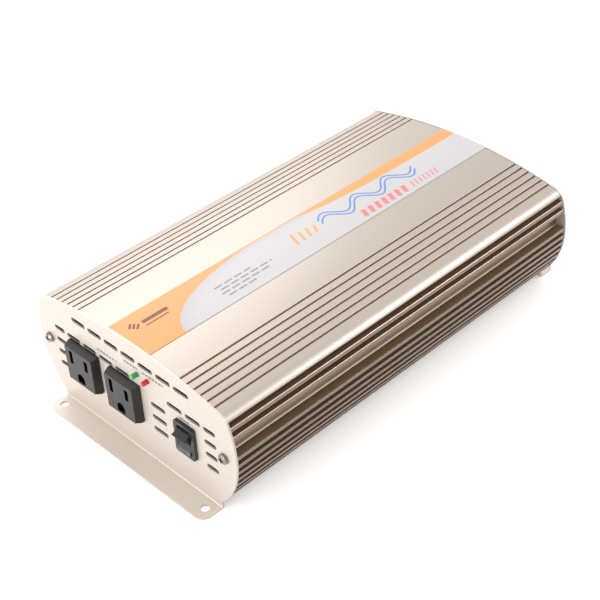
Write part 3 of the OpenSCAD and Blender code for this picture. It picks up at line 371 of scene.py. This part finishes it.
def finish(name):
    """The material for a slot of the record, made on first use."""
    if name in finishes:
        return finishes[name]
    colours = bpy.context.scene.inverter_colours
    low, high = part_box("top_label")
    makers = {
        "case_top": lambda: anodised_aluminium("Anodised aluminium, champagne, upper",
                                               colours.anodising, colours.ribs, colours.grooves),
        # The lower extrusion takes the darker rib colour all over: painted shade, with the painted reflection
        # and highlight of the ribbed sides
        "case_bottom": lambda: anodised_aluminium("Anodised aluminium, champagne, lower",
                                                  colours.ribs, colours.ribs),
        "end_plate": lambda: powder_coat("Powder-coated steel, champagne", colours.powder),
        "plated_steel": lambda: plated_metal("Nickel-plated steel", linear("8E867D")),
        "label": lambda: printed_film("Printed polyester film", colours.label_field, colours.label_body,
                                      (low.x + high.x) / 2, low.y),
        "wave_print": lambda: polished_plastic("Screen-printed ink, blue", colours.label_wave),
        "bar_print": lambda: polished_plastic("Screen-printed ink, red", colours.label_bars),
        "field_print": lambda: polished_plastic("Screen-printed ink, orange", linear("F5A94E")),
        "small_print": lambda: polished_plastic("Screen-printed ink, grey", linear("8C8A92")),
        "mark_print": lambda: polished_plastic("Screen-printed ink, brown", linear("7A4A2A")),
        "panel_print": lambda: polished_plastic("Screen-printed ink, dark grey", linear("6F665F")),
        "outlet_black": lambda: moulded_plastic("Moulded nylon, dark", colours.outlet, 0.38),
        "switch_black": lambda: polished_plastic("Polished ABS, black", colours.switch),
        "brass": lambda: plated_metal("Turned brass", linear("C9A24E"), 0.3),
        "lamp_green": lambda: tinted_epoxy("Cast epoxy, green", colours.lamp_on),
        "lamp_red": lambda: tinted_epoxy("Cast epoxy, red", colours.lamp_fault),
        "circuit_board": lambda: solder_mask("Fibreglass laminate with solder mask", linear("1E5B34")),
        "fan_black": lambda: moulded_plastic("Moulded PBT, black", linear("1D1D1E"), 0.5, 0.5),
        "terminal_red": lambda: moulded_plastic("Moulded nylon, red", colours.positive, 0.32),
        "terminal_black": lambda: moulded_plastic("Moulded nylon, black", colours.negative, 0.32),
        "nylon_white": lambda: moulded_plastic("Moulded nylon, white", linear("E4E1D8"), 0.45),
        "copper": lambda: wound_copper("Enamelled copper winding", linear("B8693A")),
        "insulating_sheet": lambda: pressed_board("Pressed insulating board", linear("CFC8AE")),
        "mill_aluminium": lambda: anodised_aluminium("Mill-finish aluminium", linear("BDBEC0")),
        "component_black": lambda: moulded_plastic("Moulded epoxy, black", linear("202022"), 0.5),
        "capacitor_sleeve": lambda: polished_plastic("Shrunk PVC sleeve, navy", linear("1A2444")),
        "ferrite": lambda: moulded_plastic("Sintered ferrite", linear("3A3A3D"), 0.6, 0.6, 0.04),
        "fuse_plastic": lambda: tinted_epoxy("Clear polyamide, orange", linear("E8791E")),
        "lead_white": lambda: polished_plastic("Extruded PVC, white", linear("E2E0DA")),
        "lead_black": lambda: polished_plastic("Extruded PVC, black", linear("1C1C1E")),
        "lead_red": lambda: polished_plastic("Extruded PVC, red", linear("B81D1A")),
    }
    finishes[name] = makers[name]()
    return finishes[name]


# Mesh tools -------------------------------------------------------------------------------------------

slots = {part["node"]: part["material_slot"] for part in frame["record"]["subparts"]}
body_of = {node: body for body, nodes in frame["record"]["behaviour"]["bodies"].items() for node in nodes}


def smooth(mesh, degrees=32):
    """Smooth shading that keeps every edge sharper than the angle crisp."""
    work = bmesh.new()
    work.from_mesh(mesh)
    for face in work.faces:
        face.smooth = True
    for edge in work.edges:
        edge.smooth = len(edge.link_faces) == 2 and edge.calc_face_angle(0) < math.radians(degrees)
    work.to_mesh(mesh)
    work.free()


def rounded_copy(node, radius, segments=2, sharp=30):
    """A piece that stands for a node: the same shape with its sharp edges rounded to a real radius."""
    mesh = frame["nodes"][node].data.copy()
    mesh.name = node + "_finished"
    mesh.materials.clear()
    work = bmesh.new()
    work.from_mesh(mesh)
    bmesh.ops.remove_doubles(work, verts=work.verts, dist=0.002 * MM)
    bmesh.ops.dissolve_degenerate(work, edges=work.edges, dist=0.001 * MM)
    bmesh.ops.dissolve_limit(work, angle_limit=math.radians(0.4), verts=work.verts, edges=work.edges)
    work.to_mesh(mesh)
    work.free()
    smooth(mesh)
    piece = bpy.data.objects.new(node + "_finished", mesh)
    bpy.context.scene.collection.objects.link(piece)
    if radius > 0:
        rounding = piece.modifiers.new("Edge radius", "BEVEL")
        rounding.width = radius
        rounding.segments = segments
        rounding.limit_method = "ANGLE"
        rounding.angle_limit = math.radians(sharp)
        rounding.use_clamp_overlap = True
        evened = piece.modifiers.new("Even shading", "WEIGHTED_NORMAL")
        evened.keep_sharp = True
        evened.weight = 80
        bpy.context.view_layer.update()
        built = bpy.data.meshes.new_from_object(piece.evaluated_get(bpy.context.evaluated_depsgraph_get()))
        piece.modifiers.clear()
        piece.data = built
    return place_piece(piece, body_of[node], slots[node], node)


def place_piece(piece, body, slot, *nodes):
    """Gives a new piece its finish and its body, and hides the nodes that it stands for."""
    piece.data.materials.clear()
    piece.data.materials.append(finish(slot))
    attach(piece, body)
    if nodes:
        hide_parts(*nodes)
    return piece


def new_piece(name, work, slot, body="case", nodes=(), degrees=32):
    mesh = bpy.data.meshes.new(name)
    work.normal_update()
    work.to_mesh(mesh)
    work.free()
    smooth(mesh, degrees)
    piece = bpy.data.objects.new(name, mesh)
    bpy.context.scene.collection.objects.link(piece)
    return place_piece(piece, body, slot, *nodes)


def dress(node):
    """Gives a node that keeps its own shape the finish of its slot."""
    shown = frame["nodes"][node]
    for polygon in shown.data.polygons:
        polygon.use_smooth = False
    if not shown.data.materials:
        shown.data.materials.append(None)
    for index in range(len(shown.data.materials)):
        shown.data.materials[index] = finish(slots[node])


def dress_all(nodes):
    for node in nodes:
        dress(node)


def grid_faces(work, rows, closed=True):
    """Joins rows of vertices into quads, each row closed on itself."""
    for lower, upper in zip(rows, rows[1:]):
        count = len(lower)
        for i in range(count if closed else count - 1):
            j = (i + 1) % count
            work.faces.new((lower[i], lower[j], upper[j], upper[i]))


def threaded(work, runs, pitch, sides, matrix):
    """A rod about its own Z from runs of (start, end, radius, cut), threaded where the cut isn't 0."""
    rows = []
    for start, end, radius, cut in runs:
        steps = max(1, round((end - start) / pitch * ROWS_PER_TURN)) if cut else 1
        for k in range(steps + 1):
            height = start + (end - start) * k / steps
            row = []
            for i in range(sides):
                phase = (height / pitch - i / sides) % 1
                angle = 2 * math.pi * i / sides
                run_out = min(1, 3 * min(k, steps - k) / steps * 4)
                reach = radius - cut * abs(2 * phase - 1) * run_out
                row.append(work.verts.new(matrix @ Vector((reach * math.cos(angle), reach * math.sin(angle),
                                                           height))))
            rows.append(row)
    grid_faces(work, rows)
    work.faces.new(list(reversed(rows[0])))
    work.faces.new(rows[-1])


def along_y(x, y, z):
    """A frame whose Z runs along +Y, with its origin at (x, y, z)."""
    return Matrix.Translation((x, y, z)) @ Matrix.Rotation(math.radians(-90), 4, "X")


# Operators --------------------------------------------------------------------------------------------

class INVERTER_OT_case(bpy.types.Operator):
    """Round the ribs and grooves of the two case extrusions"""
    bl_idname = "inverter.case"
    bl_label = "Case Extrusions"

    def execute(self, context):
        edge = context.scene.inverter_sizes.extrusion_edge
        rounded_copy("top_shell", edge)
        rounded_copy("bottom_shell", edge)
        return {"FINISHED"}


class INVERTER_OT_end_plates(bpy.types.Operator):
    """Round the edges of the two bent end plates and print the panel's marks"""
    bl_idname = "inverter.end_plates"
    bl_label = "End Plates"

    def execute(self, context):
        for node in ("front_plate", "rear_plate"):
            rounded_copy(node, context.scene.inverter_sizes.plate_edge)
        # Plain screen-printed bars where a panel has its captions: (start x, length, height) in mm
        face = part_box("switch_housing")[0].y + 2 * MM
        marks = bmesh.new()
        for start, length, height in ((-26.5, 16, 55.2), (-3.5, 11, 60.2), (11.5, 16, 60.2),
                                      (38.6, 7.6, 46.2)):
            done = 0.0
            while done < length:
                run = min(1.9, length - done)
                corners = [(start + done, height - 0.7), (start + done + run, height - 0.7),
                           (start + done + run, height + 0.7), (start + done, height + 0.7)]
                marks.faces.new([marks.verts.new((x * MM, face - 0.03 * MM, z * MM)) for x, z in corners])
                done += 2.5
        new_piece("panel_marks", marks, "panel_print")
        return {"FINISHED"}


class INVERTER_OT_outlets(bpy.types.Operator):
    """Soften the moulded outlets and finish their tabs"""
    bl_idname = "inverter.outlets"
    bl_label = "Outlets"

    def execute(self, context):
        for side in ("left", "right"):
            rounded_copy(f"outlet_{side}", context.scene.inverter_sizes.moulding_edge)
            dress(f"outlet_{side}_contacts")
        return {"FINISHED"}


class INVERTER_OT_switch(bpy.types.Operator):
    """Soften the rocker and its housing and finish the parts behind them"""
    bl_idname = "inverter.switch"
    bl_label = "Rocker Switch"

    def execute(self, context):
        edge = context.scene.inverter_sizes.moulding_edge
        rounded_copy("switch_housing", edge)
        rounded_copy("switch_rocker", edge, 3)
        dress_all(("switch_contact_arm", "switch_terminals"))
        return {"FINISHED"}


class INVERTER_OT_lamps(bpy.types.Operator):
    """Smooth the two lamps and finish their board"""
    bl_idname = "inverter.lamps"
    bl_label = "Lamps"

    def execute(self, context):
        for name in ("led_green", "led_red"):
            rounded_copy(name, 0)
        dress("led_board")
        return {"FINISHED"}


class INVERTER_OT_fasteners(bpy.types.Operator):
    """Round the heads of the screws that show"""
    bl_idname = "inverter.fasteners"
    bl_label = "Fasteners"

    def execute(self, context):
        for node in ("end_plate_screws", "fan_screws", "earth_screw", "earth_nut"):
            rounded_copy(node, context.scene.inverter_sizes.metal_edge)
        return {"FINISHED"}


class INVERTER_OT_fan(bpy.types.Operator):
    """Finish the fan's frame, rotor and wire guard"""
    bl_idname = "inverter.fan"
    bl_label = "Fan"

    def execute(self, context):
        sizes = context.scene.inverter_sizes
        rounded_copy("fan_frame", sizes.moulding_edge)
        rounded_copy("fan_rotor", sizes.moulding_edge)
        rounded_copy("fan_guard", 0)
        return {"FINISHED"}


class INVERTER_OT_terminals(bpy.types.Operator):
    """Build the battery terminals, with a real thread on each stud"""
    bl_idname = "inverter.terminals"
    bl_label = "Battery Terminals"

    def execute(self, context):
        sizes = context.scene.inverter_sizes
        for node in ("positive_base", "negative_base"):
            rounded_copy(node, sizes.moulding_edge)
        for node in ("terminal_nuts", "terminal_washers"):
            rounded_copy(node, sizes.metal_edge)
        for node in ("positive_stud", "negative_stud"):
            low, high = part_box(node)
            length, radius = high.y - low.y, (high.x - low.x) / 2
            pilot, lead, thread_depth = 7 * MM, 0.8 * MM, 0.68 * MM
            pilot_r, end_r = 3.3 * MM, 2.7 * MM
            runs = ((0, length - pilot - lead, radius, thread_depth),
                    (length - pilot, length - lead, pilot_r, 0), (length, length, end_r, 0))
            work = bmesh.new()
            threaded(work, runs, sizes.stud_pitch, STUD_SIDES,
                     along_y((low.x + high.x) / 2, low.y, (low.z + high.z) / 2))
            bmesh.ops.recalc_face_normals(work, faces=work.faces)
            new_piece(node + "_threaded", work, slots[node], body_of[node], (node,))
        dress_all(("terminal_inner_insulators", "positive_bus_bar", "negative_bus_bar"))
        return {"FINISHED"}


class INVERTER_OT_electronics(bpy.types.Operator):
    """Finish the boards, transformers, transistors and leads inside the case"""
    bl_idname = "inverter.electronics"
    bl_label = "Electronics"

    def execute(self, context):
        dress_all((
            "main_board", "insulating_sheet", "board_spacers", "board_screws",
            "transformer_core_1", "transformer_core_2", "transformer_core_3",
            "transformer_coil_1", "transformer_coil_2", "transformer_coil_3",
            "heat_bar_left", "heat_bar_right", "mosfets_left", "mosfets_right",
            "clamp_bar_left", "clamp_bar_right", "clamp_screws", "input_capacitors", "output_capacitors",
            "output_choke", "fuses", "control_board", "buzzer", "ac_leads", "switch_leads", "fan_lead"))
        return {"FINISHED"}


def crown_height(x):
    """Height of the label's top over the resting surface at x, on the crown's circle."""
    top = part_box("top_label")[1].z
    return top - CROWN_RADIUS + math.sqrt(CROWN_RADIUS ** 2 - x ** 2)


class INVERTER_OT_label(bpy.types.Operator):
    """Print the label: a warm field, a pale body and generic marks"""
    bl_idname = "inverter.label"
    bl_label = "Label"

    def execute(self, context):
        dress("top_label")
        lift = context.scene.inverter_sizes.print_lift
        low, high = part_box("top_label")
        middle, front = (low.x + high.x) / 2, low.y

        def ribbon(work, path, width):
            """A flat printed line along (across, along) points in millimetres, bent to the crown."""
            rows = []
            path = [(a[0] + (b[0] - a[0]) * k / 4, a[1] + (b[1] - a[1]) * k / 4)
                    for a, b in zip(path, path[1:]) for k in range(4)] + [path[-1]]
            for i, (u, v) in enumerate(path):
                before, after = path[max(i - 1, 0)], path[min(i + 1, len(path) - 1)]
                run = Vector((after[0] - before[0], after[1] - before[1])).normalized()
                side = Vector((-run.y, run.x)) * width / 2
                row = []
                for sign in (-1, 1):
                    x = middle + (u + sign * side.x) * MM
                    y = front + (v + sign * side.y) * MM
                    row.append(work.verts.new((x, y, crown_height(x) + lift)))
                rows.append(row)
            grid_faces(work, rows, closed=False)

        # A sine wave of three cycles, drawn as a double line
        wave = bmesh.new()
        for offset in (-1.7, 1.7):
            ribbon(wave, [(-1.2 + offset - 4.4 * math.sin(2 * math.pi * t / 20), 140 + 1.3 * t)
                          for t in range(0, 61)], 1.0)
        new_piece("label_wave", wave, "wave_print")
        # Four leaning bars before it
        warm = bmesh.new()
        for i in range(4):
            ribbon(warm, [(5 - 0.4 * i, 117 + 5.2 * i), (-5 + 0.8 * i, 120 + 5.2 * i)], 1.5)
        new_piece("label_warm_bars", warm, "field_print")
        # A row of leaning bars beside it, then a row of thin ones
        bars = bmesh.new()
        for i in range(7):
            ribbon(bars, [(13.6, 163 + 5.6 * i), (7.4, 165.4 + 5.6 * i)], 3.0)
        for i in range(7):
            ribbon(bars, [(13.2, 204 + 3.4 * i), (8, 205.8 + 3.4 * i)], 0.9)
        new_piece("label_blocks", bars, "bar_print")
        # Ruled lines in place of small print
        rules = bmesh.new()
        for row, ends in enumerate(((58, 84), (60, 97), (58, 92), (60, 80))):
            start = ends[0]
            while start < ends[1]:
                stop = min(start + 5.5, ends[1])
                ribbon(rules, [(0.6 + 3.2 * row, start), (0.6 + 3.2 * row, stop)], 1.0)
                start = stop + 1.6
        new_piece("label_rules", rules, "small_print")
        # Three short leaning bars and two lines on the warm field
        mark = bmesh.new()
        for i in range(3):
            ribbon(mark, [(-9.5 + 1.5 * i, 9 + 1.5 * i), (-6.5 + 1.5 * i, 6 + 1.5 * i)], 1.3)
        ribbon(mark, [(-6.0, 14), (-6.0, 31)], 2.6)
        ribbon(mark, [(-2.4, 14), (-2.4, 29)], 0.9)
        new_piece("label_mark", mark, "mark_print")
        return {"FINISHED"}


class INVERTER_OT_stage(bpy.types.Operator):
    """Lay the pale floor, hang the soft lights and set the camera"""
    bl_idname = "inverter.stage"
    bl_label = "Studio"

    def execute(self, context):
        studio = context.scene.inverter_studio
        scene = context.scene
        work = bmesh.new()
        bmesh.ops.create_grid(work, x_segments=8, y_segments=8, size=6)
        mesh = bpy.data.meshes.new("studio_floor")
        work.to_mesh(mesh)
        work.free()
        floor = bpy.data.objects.new("studio_floor", mesh)
        scene.collection.objects.link(floor)
        material, tree, shader, place = shader_tree("Opal acrylic, white", linear("FDFDFD"), Roughness=0.9,
                                                    **{"Emission Color": (1, 0.995, 0.99, 1),
                                                       "Emission Strength": studio.floor_glow})
        vary(tree, shader, stretched_noise(tree, place, (40, 40, 40)), linear("FDFDFD"), 0.005)
        mesh.materials.append(material)

        world = bpy.data.worlds.new("Pale surround")
        scene.world = world
        world.use_nodes = True
        # A soft white surround that falls off to grey towards +X, low down
        tree = world.node_tree
        backdrop = tree.nodes["Background"]
        way = add_node(tree, "ShaderNodeTexCoord").outputs["Generated"]
        parts = add_node(tree, "ShaderNodeSeparateXYZ", {"Vector": way}).outputs
        side = ramp(tree, math_node(tree, "SUBTRACT", parts[0], math_node(tree, "MULTIPLY", parts[2], 0.5)),
                    -0.1, 0.8)
        tree.links.new(blend_colour(tree, side, (1.0, 0.995, 0.985, 1), (*linear("B0ACA6"), 1)),
                       backdrop.inputs["Color"])
        backdrop.inputs["Strength"].default_value = studio.sky
        # Behind the floor's edge the surround itself is seen, and it is plain white
        plain = add_node(tree, "ShaderNodeBackground", {"Color": (1, 1, 1, 1), "Strength": studio.sky})
        seen_by_eye = add_node(tree, "ShaderNodeLightPath").outputs["Is Camera Ray"]
        surround = add_node(tree, "ShaderNodeMixShader", {0: seen_by_eye, 1: backdrop.outputs[0],
                                                          2: plain.outputs[0]})
        tree.links.new(surround.outputs[0], tree.nodes["World Output"].inputs["Surface"])

        def area(name, place, target, size, power, colour=(1, 1, 1)):
            light = bpy.data.lights.new(name, "AREA")
            light.shape = "RECTANGLE"
            light.size, light.size_y = size
            light.energy = power
            light.color = colour
            made = bpy.data.objects.new(name, light)
            made.location = place
            made.rotation_euler = (Vector(target) - Vector(place)).to_track_quat("-Z", "Y").to_euler()
            scene.collection.objects.link(made)

        area("key_light", (-1.1, 0.35, 1.0), (0, -0.05, 0.05), (1.2, 1.2), studio.key)
        area("rim_light", (0.72, 0.78, 0.86), (0.08, 0, 0.06), (0.7, 0.3), studio.rim)
        area("fill_light", (-0.25, -1.2, 0.12), (0, -0.13, 0.02), (1.0, 0.4), studio.fill)

        camera = bpy.data.cameras.new("camera")
        camera.sensor_width = 36
        camera.lens = studio.lens
        seen = bpy.data.objects.new("camera", camera)
        back = Vector((0.58023, -0.54506, 0.60518))
        up = Vector((-0.40500, 0.45157, 0.79502))
        right = up.cross(back).normalized()
        up = back.cross(right).normalized()
        turn = Matrix((right, up, back.normalized())).transposed().to_4x4()
        seen.matrix_world = Matrix.Translation((0.4450, -0.42888, 0.4951)) @ turn
        scene.collection.objects.link(seen)
        scene.camera = seen
        scene.view_settings.view_transform = "Standard"
        return {"FINISHED"}


class INVERTER_PT_panel(bpy.types.Panel):
    """The sidebar panel that lists the pieces"""
    bl_idname = "INVERTER_PT_panel"
    bl_label = "Power Inverter"
    bl_space_type = "VIEW_3D"
    bl_region_type = "UI"
    bl_category = "Inverter"

    def draw(self, context):
        column = self.layout.column()
        for operator in OPERATORS:
            column.operator(operator.bl_idname)
        for group, owner in ((InverterColours, "inverter_colours"), (InverterSizes, "inverter_sizes"),
                             (InverterStudio, "inverter_studio")):
            settings = getattr(context.scene, owner)
            box = self.layout.box()
            for name in group.__annotations__:
                box.prop(settings, name)


GROUPS = (InverterColours, InverterSizes, InverterStudio)
OPERATORS = (
    INVERTER_OT_case, INVERTER_OT_end_plates, INVERTER_OT_label, INVERTER_OT_outlets, INVERTER_OT_switch,
    INVERTER_OT_lamps, INVERTER_OT_fasteners, INVERTER_OT_fan, INVERTER_OT_terminals,
    INVERTER_OT_electronics, INVERTER_OT_stage)


def register():
    for kind in GROUPS + OPERATORS + (INVERTER_PT_panel,):
        bpy.utils.register_class(kind)
    bpy.types.Scene.inverter_colours = PointerProperty(type=InverterColours)
    bpy.types.Scene.inverter_sizes = PointerProperty(type=InverterSizes)
    bpy.types.Scene.inverter_studio = PointerProperty(type=InverterStudio)


def unregister():
    for name in ("inverter_colours", "inverter_sizes", "inverter_studio"):
        delattr(bpy.types.Scene, name)
    for kind in reversed(GROUPS + OPERATORS + (INVERTER_PT_panel,)):
        bpy.utils.unregister_class(kind)


def main():
    register()
    for operator in OPERATORS:
        group, name = operator.bl_idname.split(".")
        if getattr(getattr(bpy.ops, group), name)() != {"FINISHED"}:
            raise RuntimeError(operator.bl_label + " did not finish")


if __name__ == "__main__":
    main()
